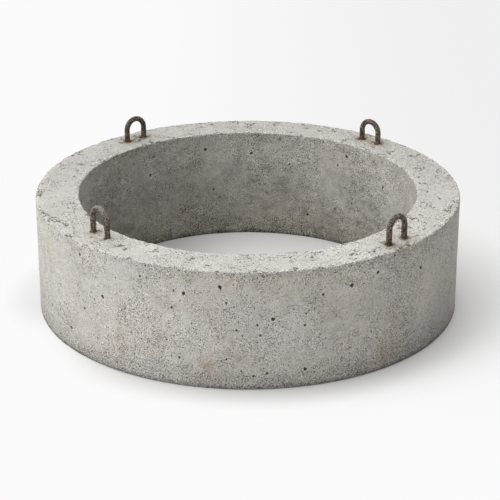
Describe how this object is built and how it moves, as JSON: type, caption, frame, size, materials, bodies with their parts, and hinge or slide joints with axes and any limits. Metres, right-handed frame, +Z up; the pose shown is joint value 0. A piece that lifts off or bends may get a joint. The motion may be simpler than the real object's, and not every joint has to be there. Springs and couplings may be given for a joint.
{
  "type": "concrete well neck ring",
  "caption": "Precast concrete ring with an open bore, for the neck of a well or manhole, with steel lifting loops cast into its top face.",
  "frame": {"origin": "on the axis of the bore, in the plane of the bottom face", "axes": "+Z up along the bore's axis; +X through the middle of lifting_loop_1"},
  "size_m": [0.8799, 0.88, 0.3045],
  "materials": {
    "concrete": "cast grey concrete, matt, with fine air holes",
    "loop_steel": "hot-rolled round bar, dark scale with brown rust"
  },
  "bodies": {
    "root": {"concrete_ring": "concrete", "lifting_loop_1": "loop_steel", "lifting_loop_2": "loop_steel", "lifting_loop_3": "loop_steel", "lifting_loop_4": "loop_steel"}
  },
  "joints": []
}
